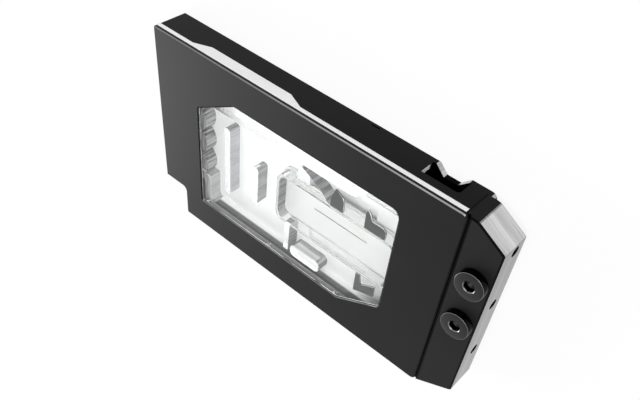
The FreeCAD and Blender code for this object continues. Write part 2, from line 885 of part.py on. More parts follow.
def make_terminal():
    start = body_length
    end = overall_length
    top_run = terminal_end_cut / end_slope
    foot_run = terminal_foot_cut / slant
    block = prism([
        (start, 0, 0),
        (start, height, 0),
        (end - top_run, height, terminal_shoulder_r),
        (end, height - terminal_end_cut, terminal_corner_r),
        (end, terminal_foot_cut, terminal_foot_r),
        (end - foot_run, 0, 0),
    ], terminal_rear, terminal_front)
    block = chamfer_at(block, terminal_edge_chamfer, terminal_front,
                       lambda edge: edge.BoundBox.XMax > start + 1)
    rebate_x = plate_length + rebate_gap
    block = block.cut(box(start - 1, rebate_x, -1, height + 1, plate_back, total_depth + 1))
    for y in port_places:
        block = block.cut(port_bore(y))
        block = block.cut(rod_x(start, port_x, y, passage_z, passage_r))
        groove = rod_x(start, start + ring_groove_depth, y, passage_z, ring_groove_outer_r)
        core = rod_x(start, start + ring_groove_depth, y, passage_z, ring_groove_inner_r)
        block = block.cut(groove.cut(core))
    for y in end_screw_y:
        block = block.cut(rod_x(start, end_screw_seat, y, end_screw_z, end_screw_clear_d / 2))
        block = block.cut(rod_x(end_screw_seat, end + 1, y, end_screw_z,
                                end_screw_head_d / 2 + end_screw_head_gap))
    return block.removeSplitter()


def plug_level():
    return terminal_front + plug_seat_gap


def make_plug(y):
    z0 = plug_level()
    z1 = z0 + plug_head_thick
    head = rod(port_x, y, z0, z1, plug_head_r)
    head = chamfer_at(head, plug_chamfer, z1)
    groove_top = terminal_front + plug_ring_thick
    groove = rod(port_x, y, z0, groove_top, plug_ring_outer_r + groove_gap / 2)
    groove = groove.cut(rod(port_x, y, z0, groove_top, plug_ring_inner_r - groove_gap / 2))
    head = head.cut(groove)
    thread = rod(port_x, y, z0 - plug_thread_length, z0, plug_thread_r)
    thread = chamfer_at(thread, plug_chamfer, z0 - plug_thread_length)
    plug = head.fuse(thread).removeSplitter()
    plug = plug.cut(hex_prism(port_x, y, z1 - plug_hex_depth, z1, plug_hex))
    lead = Part.makeCone(plug_hex / 2, plug_socket_lead_r, plug_socket_lead_depth,
                         vector(port_x, y, z1 - plug_socket_lead_depth), axis_z)
    return plug.cut(lead)


def make_plug_ring(y):
    z1 = terminal_front + plug_ring_thick
    ring = rod(port_x, y, terminal_front, z1, plug_ring_outer_r)
    return ring.cut(rod(port_x, y, terminal_front, z1, plug_ring_inner_r))


def save(name, shape):
    placed = shape.copy()
    placed.translate(vector(-overall_length / 2, -height / 2, 0))
    placed.exportStep("parts/" + name + ".step")


def main():
    os.makedirs("parts", exist_ok=True)
    save("faceplate", make_faceplate())
    save("light_bar", make_light_bar())
    save("led_board", make_led_board())
    save("led_chips", make_led_chips())
    save("housing", make_housing())
    save("window_block", make_window_block())
    save("upper_left_baffle", baffle(upper_left_baffle))
    save("upper_right_baffle", baffle(upper_right_baffle))
    save("lower_baffle", baffle(lower_baffle))
    save("main_seal", seal_loop(0))
    save("jet_gasket", make_jet_gasket())
    save("jet_plate", make_jet_plate())
    save("cold_plate", make_cold_plate())
    save("plate_screws", make_plate_screws())
    save("faceplate_screws", make_face_screws())
    save("standoffs", make_standoffs())
    save("terminal", make_terminal())
    save("terminal_screws", make_end_screws())
    for name, y in zip(port_names, port_places):
        save(name + "_port_seal", make_port_seal(y))
        save(name + "_stop_plug", make_plug(y))
        save(name + "_plug_ring", make_plug_ring(y))


main()
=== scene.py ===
import math

import bpy
from mathutils import Matrix, Vector


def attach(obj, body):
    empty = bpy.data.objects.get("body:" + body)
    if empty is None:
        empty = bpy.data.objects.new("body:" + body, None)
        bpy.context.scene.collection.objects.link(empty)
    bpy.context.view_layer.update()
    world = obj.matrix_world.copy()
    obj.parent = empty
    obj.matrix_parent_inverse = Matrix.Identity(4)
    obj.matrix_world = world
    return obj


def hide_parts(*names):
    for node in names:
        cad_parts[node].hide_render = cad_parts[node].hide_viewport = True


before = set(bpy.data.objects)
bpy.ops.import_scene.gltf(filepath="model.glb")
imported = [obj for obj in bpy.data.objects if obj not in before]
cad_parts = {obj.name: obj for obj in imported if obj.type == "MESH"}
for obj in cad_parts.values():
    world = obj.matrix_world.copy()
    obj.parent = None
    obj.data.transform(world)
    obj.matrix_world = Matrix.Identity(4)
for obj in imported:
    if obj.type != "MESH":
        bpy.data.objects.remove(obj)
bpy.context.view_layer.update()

# The camera, at the photograph's viewing angle: the block lies on its rear rim, and the
# camera looks down over its upper right corner. Metres, in the model's frame.
camera_place = (0.1895, 0.2826, 0.2585)
camera_right = (0.7466, 0.0884, -0.6594)
camera_down = (0.5355, -0.6681, 0.5167)
camera_ahead = (-0.3949, -0.7388, -0.5461)
camera_lens = 39.41
camera_shift_up = 0.1125
sensor_width = 36.0

# Directions in the model's frame
right = (1, 0, 0)
to_light_bar = (0, 1, 0)
front = (0, 0, 1)
rear = (0, 0, -1)
plate_chamfer_way = (0, 0.7071, 0.7071)
left_cut_way = (0.68, 0.73, 0)
right_cut_way = (-0.68, 0.73, 0)

# Where a finish, painted light or painted shade begins, in millimetres in the model's
# frame: it isn't there yet at the first place of each pair, and is full at the second
# Painted shade lines on the terminal, beside the faceplate and beside the frame
shaded_gap_by_plate_x = (101.7, 101.3)
shaded_gap_by_frame_x = (98.1, 97.9)
# Painted shade in the hollow behind the plug cuts
hollow_mouth_y = (67.3, 67.0)
hollow_end_y = (55.0, 56.0)
hollow_left_x = (60.5, 61.0)
hollow_right_x = (90.0, 89.5)
plug_cuts_x = (60.0, 61.0)
plug_cuts_y = (50.0, 52.0)
# Painted highlight on the front half of the left jamb of the plug cuts
jamb_left_x = (60.0, 60.5)
jamb_right_x = (66.5, 66.0)
jamb_y = (60.0, 61.0)
jamb_front_z = (5.0, 7.0)
channels_x = (-84.0, -80.0)
clear_walls_x = (-86.0, -83.0)
clear_walls_y = (-39.0, -37.0)
# Painted shade on the lower wall and on walls to the right; painted highlight on its foot
lower_wall_ends_y = (-40.0, -39.0)
lower_wall_foot_z = (12.4, 10.8)
painted_shade_walls_x = (-66.0, -30.0)
# Nickel painted grey, as painted shade, past the channels' left end
white_nickel_x = (-88.0, -85.0)

# Ports, in millimetres in the model's frame
port_x = 113.0
outlet_y = 1.5
inlet_y = 32.5
port_r = 6.58

# Stop plugs, turned: radius and height of each step from the thread's foot to the drill's
# point at the bottom of the socket
plug_turning = [(5.9, 19.9), (6.5, 20.5), (6.5, 25.6), (8.1, 25.6), (8.1, 24.5), (8.42, 24.5),
                (8.5, 24.58), (8.5, 28.62), (8.44, 28.8), (8.24, 28.9), (3.7, 28.9),
                (3.0, 28.2), (3.0, 25.5), (0.1, 23.8)]
plug_sides = 96
plug_top = 28.9
plug_socket_across = 6.0
plug_socket_floor = 25.5
socket_overshoot = 1.0
# Where the painted highlight on the plug's rim begins, in millimetres
rim_glint_z = (plug_top - 0.5, plug_top - 0.4)
turned_ring_pitch = 0.5236

# Thread of the open rear ports
thread_pitch = 1.337
thread_turns = 4
thread_start = 5.4
thread_depth = 0.82
thread_sink = 0.02
thread_steps = 48

# Modelled meshes: points nearer than this are one, in metres, and flatter edges are smooth
weld_distance = 0.000001
smooth_angle = math.radians(30)

# Surroundings: metres and watts, and the floor's drop below the block in millimetres
floor_size = 6.0
floor_drop = 0.1
floor_white_share = 0.9
sky_level = 0.52
key_place = (-1.8, -1.0, 0.62)
key_size = (1.08, 1.02)
key_power = 35.0
top_place = (0.45, 0.4, 1.4)
top_size = (0.9, 0.9)
top_power = 12.0

# A Mix node that mixes colours: its two inputs and its output
mix_first = 6
mix_second = 7
mix_result = 2


def mm(value):
    """Millimetres, as the metres that meshes and materials take."""
    return value / 1000


def linear(hex_code):
    """A colour written as sRGB hex, as the numbers that a shader takes."""
    values = []
    for i in (0, 2, 4):
        share = int(hex_code[i:i + 2], 16) / 255
        values.append(share / 12.92 if share <= 0.04045 else ((share + 0.055) / 1.055) ** 2.4)
    return (*values, 1.0)


def add(tree, kind, inputs=None, output=0, **settings):
    """Adds a node with its settings, sets or joins its inputs, and gives one of its outputs."""
    node = tree.nodes.new(kind)
    node.location.x = 200 * len(tree.nodes)
    for name, value in settings.items():
        setattr(node, name, value)
    for key, value in (inputs or {}).items():
        socket = node.inputs[key]
        if isinstance(value, bpy.types.NodeSocket):
            tree.links.new(value, socket)
        else:
            socket.default_value = value
    return node.outputs[output] if node.outputs else None


def new_material(name):
    """An empty material and its node tree."""
    material = bpy.data.materials.new(name)
    material.use_nodes = True
    material.node_tree.nodes.clear()
    return material, material.node_tree


# Patterns and places on the block

def marks(tree, size_mm, stretch=(1, 1, 1), detail=2.0, rough=0.5):
    """Uneven marks about size_mm across, from 0 to 1, drawn out along an axis where its
    stretch is small."""
    place = add(tree, "ShaderNodeTexCoord", output="Object")
    place = add(tree, "ShaderNodeMapping", {"Vector": place, "Scale": stretch})
    return add(tree, "ShaderNodeTexNoise", {"Vector": place, "Scale": 1000 / size_mm,
                                            "Detail": detail, "Roughness": rough})


def facing(tree, direction, least, most):
    """0 where the surface's cosine to a direction is the least, and 1 where it is the most."""
    normal = add(tree, "ShaderNodeNewGeometry", output="True Normal")
    cosine = add(tree, "ShaderNodeVectorMath", {0: normal, 1: direction}, "Value",
                 operation="DOT_PRODUCT")
    return add(tree, "ShaderNodeMapRange",
               {"Value": cosine, "From Min": least, "From Max": most})


def along(tree, axis, places):
    """0 at the first of two places along an axis of the block, and 1 at the second."""
    start, end = places
    place = add(tree, "ShaderNodeTexCoord", output="Object")
    place = add(tree, "ShaderNodeSeparateXYZ", {"Vector": place}, axis)
    return add(tree, "ShaderNodeMapRange",
               {"Value": place, "From Min": mm(start), "From Max": mm(end)})


def where_all(tree, *masks):
    """1 where every mask is 1."""
    product = masks[0]
    for mask in masks[1:]:
        product = add(tree, "ShaderNodeMath", {0: product, 1: mask}, operation="MULTIPLY")
    return product


def where_any(tree, *masks):
    """1 where one mask or more is 1."""
    most = masks[0]
    for mask in masks[1:]:
        most = add(tree, "ShaderNodeMath", {0: most, 1: mask}, operation="MAXIMUM")
    return most


# Finishes

def black_anodising(tree, sheen):
    """Bead-blasted black anodising: a dark satin skin with an even, dusty sheen. The blast's
    grain is about 0.05 mm, and is drawn at 0.12 mm so that it shows."""
    grain = marks(tree, size_mm=0.12)
    cloud = marks(tree, size_mm=30.0)
    colour = add(tree, "ShaderNodeMix",
                 {0: cloud, mix_first: linear("131314"), mix_second: linear("1a1a1b")},
                 mix_result, data_type="RGBA")
    rough = add(tree, "ShaderNodeMapRange", {"Value": grain, "To Min": 0.56, "To Max": 0.62})
    blast = add(tree, "ShaderNodeBump", {"Height": grain, "Distance": mm(0.004)})
    return add(tree, "ShaderNodeBsdfPrincipled",
               {"Base Color": colour, "Roughness": rough, "Specular IOR Level": sheen,
                "Normal": blast})


def milled_metal(tree, stretch, dark, light):
    """Bare aluminium straight from the cutter: bright, with fine marks drawn out one way and
    wider bands where its passes meet. The marks are about 0.2 mm wide, and are drawn at
    0.7 mm so that they show."""
    fine = marks(tree, size_mm=0.7, stretch=stretch, detail=4.0, rough=0.7)
    bands = marks(tree, size_mm=6.0, stretch=stretch, detail=1.0)
    fine_share = add(tree, "ShaderNodeMath", {0: fine, 1: 0.4}, operation="MULTIPLY")
    band_share = add(tree, "ShaderNodeMath", {0: bands, 1: 0.6}, operation="MULTIPLY")
    both = add(tree, "ShaderNodeMath", {0: fine_share, 1: band_share}, operation="ADD")
    both = add(tree, "ShaderNodeMapRange", {"Value": both, "From Min": 0.35, "From Max": 0.65})
    colour = add(tree, "ShaderNodeMix",
                 {0: both, mix_first: linear(dark), mix_second: linear(light)},
                 mix_result, data_type="RGBA")
    rough = add(tree, "ShaderNodeMapRange", {"Value": fine, "To Min": 0.22, "To Max": 0.38})
    grooves = add(tree, "ShaderNodeBump", {"Height": fine, "Distance": mm(0.006)})
    return add(tree, "ShaderNodeBsdfPrincipled",
               {"Base Color": colour, "Roughness": rough, "Metallic": 1.0, "Normal": grooves})


def make_plate_finish():
    """Faceplate: black all over but for the bright cut chamfer along its upper edge."""
    material, tree = new_material("black anodised plate with bright cut edge")
    black = black_anodising(tree, 0.12)
    metal = milled_metal(tree, (0.04, 1, 1), "707071", "a4a4a5")
    edge = facing(tree, plate_chamfer_way, 0.90, 0.93)
    skin = add(tree, "ShaderNodeMixShader", {0: edge, 1: black, 2: metal})
    add(tree, "ShaderNodeOutputMaterial", {"Surface": skin})
    return material


def make_terminal_finish():
    """Terminal: black front and sides, its angled corners and end face milled bright, the
    corners painted lighter and the end face darker: painted light and shade.
    Strips along its edges against the faceplate and the frame, and its front bevels, are
    glossy black: painted shade lines, so each gap and bevel shows as a black line."""
    material, tree = new_material("black anodised terminal with bright milled ends")
    # Painted light and shade: one milled metal, lighter on the corners, darker on the end face
    lit_slope_metal = milled_metal(tree, (0.03, 0.03, 1), "a2a2a3", "e6e6e6")
    face = milled_metal(tree, (0.03, 0.03, 1), "6e6e6f", "9e9e9f")
    end_face = facing(tree, right, 0.85, 0.95)
    metal = add(tree, "ShaderNodeMixShader", {0: end_face, 1: lit_slope_metal, 2: face})
    # Glossy black, painted as shade lines at the seams and on the front bevels
    gloss = add(tree, "ShaderNodeBsdfPrincipled",
                {"Base Color": linear("050505"), "Roughness": 0.3, "Specular IOR Level": 0.04})
    # Painted shade lines: the front bevels and a strip beside the faceplate
    painted_shade_line_mask = where_any(tree, facing(tree, front, 0.98, 0.9), along(tree, "X", shaded_gap_by_plate_x))
    top = add(tree, "ShaderNodeMixShader",
              {0: painted_shade_line_mask, 1: black_anodising(tree, 0.13), 2: gloss})
    # Painted shade line: a strip beside the frame is glossy black
    side = add(tree, "ShaderNodeMixShader",
               {0: along(tree, "X", shaded_gap_by_frame_x), 1: black_anodising(tree, 0.10), 2: gloss})
    upright = facing(tree, front, 0.35, 0.3)
    black = add(tree, "ShaderNodeMixShader", {0: upright, 1: top, 2: side})
    bare = where_all(tree, facing(tree, right, 0.30, 0.44), upright)
    skin = add(tree, "ShaderNodeMixShader", {0: bare, 1: black, 2: metal})
    add(tree, "ShaderNodeOutputMaterial", {"Surface": skin})
    return material


def make_frame_finish():
    """Frame: smooth black anodising over the cutter's lines, which are drawn 0.5 mm wide so
    that they show. The cuts for the power plugs are bare metal. The front half of their left
    jamb is painted white, a painted highlight, and the hollow behind them is painted dull
    black, a painted shade."""
    material, tree = new_material("black anodised frame with bare plug cuts")
    lines = marks(tree, size_mm=0.5, stretch=(0.05, 1, 1), detail=3.0)
    rough = add(tree, "ShaderNodeMapRange", {"Value": lines, "To Min": 0.34, "To Max": 0.46})
    grooves = add(tree, "ShaderNodeBump", {"Height": lines, "Distance": mm(0.004)})
    smooth = add(tree, "ShaderNodeBsdfPrincipled",
                 {"Base Color": linear("080809"), "Roughness": rough,
                  "Specular IOR Level": 0.085, "Normal": grooves})
    # Painted shade: the hollow behind the plug cuts is darker and duller black
    dull = add(tree, "ShaderNodeBsdfPrincipled",
               {"Base Color": linear("030303"), "Roughness": 0.6, "Specular IOR Level": 0.02})
    hollow = where_all(tree, along(tree, "Y", hollow_mouth_y), along(tree, "Y", hollow_end_y),
                       along(tree, "X", hollow_left_x), along(tree, "X", hollow_right_x))
    black = add(tree, "ShaderNodeMixShader", {0: hollow, 1: smooth, 2: dull})
    cut = where_any(tree, facing(tree, left_cut_way, 0.93, 0.97),
                    facing(tree, right_cut_way, 0.97, 0.99))
    cut = where_all(tree, cut, along(tree, "X", plug_cuts_x), along(tree, "Y", plug_cuts_y))
    jamb = where_all(tree, facing(tree, right, 0.6, 0.7), along(tree, "X", jamb_left_x),
                     along(tree, "X", jamb_right_x), along(tree, "Y", jamb_y),
                     along(tree, "Z", jamb_front_z))
    milled = milled_metal(tree, (1, 1, 0.05), "8c8c8d", "cfcfcf")
    # Painted highlight: the front half of the left jamb is pure white
    blasted = add(tree, "ShaderNodeBsdfPrincipled",
                  {"Base Color": linear("ffffff"), "Roughness": 0.5})
    metal = add(tree, "ShaderNodeMixShader", {0: jamb, 1: milled, 2: blasted})
    skin = add(tree, "ShaderNodeMixShader", {0: where_any(tree, cut, jamb), 1: black, 2: metal})
    add(tree, "ShaderNodeOutputMaterial", {"Surface": skin})
    return material


def make_acetal():
    """Black acetal of the baffles: milled plastic, satin, with the cutter's marks, which are
    drawn 0.8 mm wide so that they show."""
    material, tree = new_material("milled black acetal")
    lines = marks(tree, size_mm=0.8, stretch=(1, 0.15, 1), detail=3.0)
    colour = add(tree, "ShaderNodeMix",
                 {0: lines, mix_first: linear("0c0c0d"), mix_second: linear("1a1a1b")},
                 mix_result, data_type="RGBA")
    rough = add(tree, "ShaderNodeMapRange", {"Value": lines, "To Min": 0.34, "To Max": 0.46})
    grooves = add(tree, "ShaderNodeBump", {"Height": lines, "Distance": mm(0.004)})
    skin = add(tree, "ShaderNodeBsdfPrincipled",
               {"Base Color": colour, "Roughness": rough, "Specular IOR Level": 0.12,
                "Normal": grooves})
    add(tree, "ShaderNodeOutputMaterial", {"Surface": skin})
    return material


def make_opal():
    """Opal acrylic light guide: cast, milk white through and through, a little cloudy."""
    material, tree = new_material("opal white acrylic")
    cloud = marks(tree, size_mm=6.0)
    colour = add(tree, "ShaderNodeMix",
                 {0: cloud, mix_first: linear("f7f7f7"), mix_second: linear("ffffff")},
                 mix_result, data_type="RGBA")
    skin = add(tree, "ShaderNodeBsdfPrincipled", {"Base Color": colour, "Roughness": 0.35})
    add(tree, "ShaderNodeOutputMaterial", {"Surface": skin})
    return material


def painted_wall_shade(tree):
    """Tone of the clear block's milled walls, with the cutter's upright streaks, drawn 1.2 mm
    wide so that they show, and with painted light and shade. Walls that run across the block
    are grey, painted darker to the right, and slanting ones are painted duller: painted shade.
    The lower wall is painted dark, a painted shade, and the fillet at its foot white, a
    painted highlight. The other lengthwise ones are white, and the scallops have the
    strongest streaks."""
    streak = marks(tree, size_mm=1.2, stretch=(1, 1, 0.06))
    streak = add(tree, "ShaderNodeMapRange",
                 {"Value": streak, "From Min": 0.36, "From Max": 0.64})
    light_streak = add(tree, "ShaderNodeMath", {0: streak, 1: 0.35}, operation="MULTIPLY")
    # Painted highlight on the lower wall's foot, painted shade to the right
    foot = along(tree, "Z", lower_wall_foot_z)
    above = along(tree, "Y", lower_wall_ends_y)
    shade_to_the_right = along(tree, "X", painted_shade_walls_x)
    # Painted shade: the lower wall is dark, with its foot painted white as a highlight
    lower = add(tree, "ShaderNodeMix",
                {0: streak, mix_first: linear("1c1c1d"), mix_second: linear("3a3a3c")},
                mix_result, data_type="RGBA")
    lower = add(tree, "ShaderNodeMix",
                {0: foot, mix_first: lower, mix_second: linear("f6f6f6")},
                mix_result, data_type="RGBA")
    lengthwise = add(tree, "ShaderNodeMix",
                     {0: above, mix_first: lower, mix_second: linear("f4f4f4")},
                     mix_result, data_type="RGBA")
    # Painted shade: walls across the block turn darker to the right
    across = add(tree, "ShaderNodeMix",
                 {0: shade_to_the_right, mix_first: linear("a4a5a7"), mix_second: linear("4c4d4f")},
                 mix_result, data_type="RGBA")
    across = add(tree, "ShaderNodeMix",
                 {0: light_streak, mix_first: across, mix_second: linear("e8e8e8")},
                 mix_result, data_type="RGBA")
    # Painted shade: slanting walls are duller
    slanting = add(tree, "ShaderNodeMix",
                   {0: streak, mix_first: linear("565658"), mix_second: linear("a8a8aa")},
                   mix_result, data_type="RGBA")
    scallop = add(tree, "ShaderNodeMix",
                  {0: streak, mix_first: linear("2a2a2b"), mix_second: linear("b2b2b4")},
                  mix_result, data_type="RGBA")
    tone = add(tree, "ShaderNodeMix",
               {0: facing(tree, right, 0.82, 0.98), mix_first: slanting, mix_second: across},
               mix_result, data_type="RGBA")
    tone = add(tree, "ShaderNodeMix",
               {0: facing(tree, to_light_bar, 0.94, 0.99), mix_first: tone,
                mix_second: lengthwise},
               mix_result, data_type="RGBA")
    return add(tree, "ShaderNodeMix",
               {0: along(tree, "X", channels_x), mix_first: scallop, mix_second: tone},
               mix_result, data_type="RGBA")


def make_clear():
    """Clear acrylic: polished flat faces, and hazy walls where the cutter went round. A wall
    is clear when it is seen from within the block, and the lengthwise walls above the lower
    one are nearly so. Lamp light passes straight through to the channels."""
    material, tree = new_material("clear acrylic with milled channels")
    flat = where_any(tree, facing(tree, front, 0.4, 0.6), facing(tree, rear, 0.4, 0.6))
    from_within = add(tree, "ShaderNodeNewGeometry", output="Backfacing")
    how_clear = add(tree, "ShaderNodeMapRange",
                    {"Value": along(tree, "X", clear_walls_x), "To Min": 0.45, "To Max": 1.0})
    from_within = where_all(tree, from_within, how_clear)
    lengthwise = where_all(tree, facing(tree, to_light_bar, 0.94, 0.99),
                           along(tree, "Y", clear_walls_y), along(tree, "X", channels_x))
    lengthwise = add(tree, "ShaderNodeMath", {0: lengthwise, 1: 0.75}, operation="MULTIPLY")
    clear = where_any(tree, flat, from_within, lengthwise)
    polished = add(tree, "ShaderNodeBsdfPrincipled",
                   {"Base Color": linear("fdfefe"), "Roughness": 0.0, "IOR": 1.49,
                    "Transmission Weight": 1.0})
    # The frosted walls' tone carries painted light and shade
    frosted = add(tree, "ShaderNodeBsdfPrincipled",
                  {"Base Color": painted_wall_shade(tree), "Roughness": 0.4, "IOR": 1.49,
                   "Specular IOR Level": 0.2, "Transmission Weight": 0.05})
    acrylic = add(tree, "ShaderNodeMixShader", {0: clear, 1: frosted, 2: polished})
    lamp_light = add(tree, "ShaderNodeLightPath", output="Is Shadow Ray")
    passing = add(tree, "ShaderNodeBsdfTransparent", {"Color": linear("fdfefe")})
    body = add(tree, "ShaderNodeMixShader", {0: lamp_light, 1: acrylic, 2: passing})
    add(tree, "ShaderNodeOutputMaterial", {"Surface": body})
    return material


def make_nickel(name, white):
    """Nickel over milled copper, whose marks are drawn 0.6 mm wide so that they show: satin
    white in the water channels, painted grey and streaked past their left end, where the
    clear block lies on it, as a painted shade, and brighter behind."""
    material, tree = new_material(name)
    lines = marks(tree, size_mm=0.6, stretch=(1, 0.05, 1), detail=3.0)
    streak = add(tree, "ShaderNodeMapRange", {"Value": lines, "From Min": 0.4, "From Max": 0.6})
    # Painted shade: grey, streaked nickel past the channels' left end
    dull = add(tree, "ShaderNodeMix",
               {0: streak, mix_first: linear("6c6c6d"), mix_second: linear("c6c6c7")},
               mix_result, data_type="RGBA")
    tone = add(tree, "ShaderNodeMix",
               {0: along(tree, "X", white_nickel_x), mix_first: dull, mix_second: linear(white)},
               mix_result, data_type="RGBA")
    rough = add(tree, "ShaderNodeMapRange", {"Value": lines, "To Min": 0.40, "To Max": 0.50})
    satin = add(tree, "ShaderNodeBsdfPrincipled",
                {"Base Color": tone, "Metallic": 0.25, "Roughness": rough})
    rough = add(tree, "ShaderNodeMapRange", {"Value": lines, "To Min": 0.24, "To Max": 0.36})
    grooves = add(tree, "ShaderNodeBump", {"Height": lines, "Distance": mm(0.002)})
    bright = add(tree, "ShaderNodeBsdfPrincipled",
                 {"Base Color": linear("d3d1cd"), "Metallic": 1.0, "Roughness": rough,
                  "Normal": grooves})
    skin = add(tree, "ShaderNodeMixShader",
               {0: facing(tree, front, -0.6, -0.2), 1: bright, 2: satin})
    add(tree, "ShaderNodeOutputMaterial", {"Surface": skin})
    return material


def make_small_metal(name, dark, light, least_rough, most_rough):
    """Screws and standoffs: turned metal with a dull shine, finely marked all over, which is
    drawn at 0.4 mm so that it shows."""
    material, tree = new_material(name)
    fine = marks(tree, size_mm=0.4, detail=3.0)
    colour = add(tree, "ShaderNodeMix",
                 {0: fine, mix_first: linear(dark), mix_second: linear(light)},
                 mix_result, data_type="RGBA")
    rough = add(tree, "ShaderNodeMapRange",
                {"Value": fine, "To Min": least_rough, "To Max": most_rough})
    grooves = add(tree, "ShaderNodeBump", {"Height": fine, "Distance": mm(0.003)})
    skin = add(tree, "ShaderNodeBsdfPrincipled",
               {"Base Color": colour, "Roughness": rough, "Metallic": 1.0, "Normal": grooves})
    add(tree, "ShaderNodeOutputMaterial", {"Surface": skin})
    return material


def make_plug_finish(name, centre):
    """Black plated stop plug, turned: rings round its own axis on the flat head, a deep
    gloss on the side, and bare grey metal on the rim's chamfer, a painted highlight. The
    lathe's rings are about 0.1 mm apart, and are drawn further apart so that they show."""
    material, tree = new_material(name)
    middle = (mm(centre[0]), mm(centre[1]), 0)
    place = add(tree, "ShaderNodeTexCoord", output="Object")
    place = add(tree, "ShaderNodeVectorMath", {0: place, 1: middle}, operation="SUBTRACT")
    place = add(tree, "ShaderNodeVectorMath", {0: place, 1: (1, 1, 0)}, operation="MULTIPLY")
    radius = add(tree, "ShaderNodeVectorMath", {0: place}, "Value", operation="LENGTH")
    turns = add(tree, "ShaderNodeMath", {0: radius, 1: math.tau / mm(turned_ring_pitch)},
                operation="MULTIPLY")
    turns = add(tree, "ShaderNodeMath", {0: turns}, operation="SINE")
    rings = add(tree, "ShaderNodeBump", {"Height": turns, "Distance": mm(0.002)})
    fine = marks(tree, size_mm=0.3, detail=3.0)
    rough = add(tree, "ShaderNodeMapRange", {"Value": fine, "To Min": 0.32, "To Max": 0.42})
    head = add(tree, "ShaderNodeBsdfPrincipled",
               {"Base Color": linear("1b1b1c"), "Roughness": rough, "Specular IOR Level": 0.22,
                "Normal": rings})
    side = add(tree, "ShaderNodeBsdfPrincipled",
               {"Base Color": linear("030303"), "Roughness": 0.2, "Specular IOR Level": 0.06})
    # Painted highlight: bare grey metal on the rim's chamfer
    rim = add(tree, "ShaderNodeBsdfPrincipled",
              {"Base Color": linear("777778"), "Roughness": 0.3, "Metallic": 1.0})
    plated = add(tree, "ShaderNodeMixShader",
                 {0: facing(tree, front, 0.5, 0.97), 1: side, 2: head})
    # Painted highlight: the rim's chamfer near the top
    rim_glint_mask = where_all(tree, facing(tree, front, 0.3, 0.5), facing(tree, front, 0.97, 0.9),
                     along(tree, "Z", rim_glint_z))
    skin = add(tree, "ShaderNodeMixShader", {0: rim_glint_mask, 1: plated, 2: rim})
    add(tree, "ShaderNodeOutputMaterial", {"Surface": skin})
    return material


def make_thread_finish():
    """Thread of the rear ports: black anodised as the terminal is, with more gloss, so that
    its turns catch the light in the dark bore."""
    material, tree = new_material("black anodised port thread")
    add(tree, "ShaderNodeOutputMaterial", {"Surface": black_anodising(tree, 0.3)})
    return material


def make_smooth(name, colour, rough, clear=0.0):
    """Moulded rubber or silicone, cast resin or printed solder mask: one even colour under a
    slightly uneven skin, whose soft waves are 1.5 mm wide."""
    material, tree = new_material(name)
    cloud = marks(tree, size_mm=1.5)
    uneven = add(tree, "ShaderNodeMapRange",
                 {"Value": cloud, "To Min": rough, "To Max": rough + 0.1})
    waves = add(tree, "ShaderNodeBump", {"Height": cloud, "Distance": mm(0.002)})
    skin = add(tree, "ShaderNodeBsdfPrincipled",
               {"Base Color": linear(colour), "Roughness": uneven,
                "Transmission Weight": clear, "Normal": waves})
    add(tree, "ShaderNodeOutputMaterial", {"Surface": skin})
    return material


def dress(finishes):
    """Gives each CAD node its material."""
    for name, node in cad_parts.items():
        node.data.materials.clear()
        node.data.materials.append(finishes[name])


# Modelled pieces

def finish_piece(piece, name, material):
    """Names a modelled piece, gives it its material, and fixes it to the block."""
    piece.name = name
    piece.data.name = name
    piece.data.materials.clear()
    piece.data.materials.append(material)
    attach(piece, "root")


def face_outwards():
    """Joins the points that lie together, and turns all faces of the piece outwards."""
    bpy.ops.object.mode_set(mode="EDIT")
    bpy.ops.mesh.select_all(action="SELECT")
    bpy.ops.mesh.remove_doubles(threshold=weld_distance)
    bpy.ops.mesh.normals_make_consistent(inside=False)
    bpy.ops.object.mode_set(mode="OBJECT")


def turn_profile(centre, steps):
    """A disc drawn along its axis and made wider or narrower, step by step, as on a lathe."""
    x, y = mm(centre[0]), mm(centre[1])
    radius, height = steps[0]
    bpy.ops.object.select_all(action="DESELECT")
    bpy.ops.mesh.primitive_circle_add(vertices=plug_sides, radius=mm(radius), fill_type="NGON",
                                      location=(x, y, mm(height)))
    bpy.ops.object.transform_apply(location=True, rotation=True, scale=True)
    bpy.ops.object.mode_set(mode="EDIT")
    bpy.ops.mesh.select_all(action="SELECT")
    for wider, higher in steps[1:]:
        rise = {"value": (0, 0, mm(higher - height))}
        bpy.ops.mesh.extrude_region_move(TRANSFORM_OT_translate=rise)
        share = wider / radius
        bpy.ops.transform.resize(value=(share, share, 1), center_override=(x, y, mm(higher)))
        radius, height = wider, higher
    bpy.ops.object.mode_set(mode="OBJECT")
    return bpy.context.object


def cut_socket(piece, centre):
    """Cuts the hexagon of the key out of the plug's head."""
    depth = plug_top + socket_overshoot - plug_socket_floor
    bpy.ops.object.select_all(action="DESELECT")
    bpy.ops.mesh.primitive_cylinder_add(
        vertices=6, radius=mm(plug_socket_across / math.sqrt(3)), depth=mm(depth),
        location=(mm(centre[0]), mm(centre[1]), mm(plug_socket_floor + depth / 2)))
    cutter = bpy.context.object
    bpy.context.view_layer.objects.active = piece
    boolean = piece.modifiers.new("socket", "BOOLEAN")
    boolean.operation = "DIFFERENCE"
    boolean.object = cutter
    bpy.ops.object.modifier_apply(modifier=boolean.name)
    bpy.data.objects.remove(cutter, do_unlink=True)


def make_stop_plug(name, node, centre):
    """Stop plug: turned head and thread, with a hexagon socket over the drill's point."""
    piece = turn_profile(centre, plug_turning)
    face_outwards()
    cut_socket(piece, centre)
    piece.select_set(True)
    bpy.context.view_layer.objects.active = piece
    bpy.ops.object.shade_smooth_by_angle(angle=smooth_angle)
    material = make_plug_finish("black plated " + name.replace("_", " "), centre)
    finish_piece(piece, name, material)
    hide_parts(node)


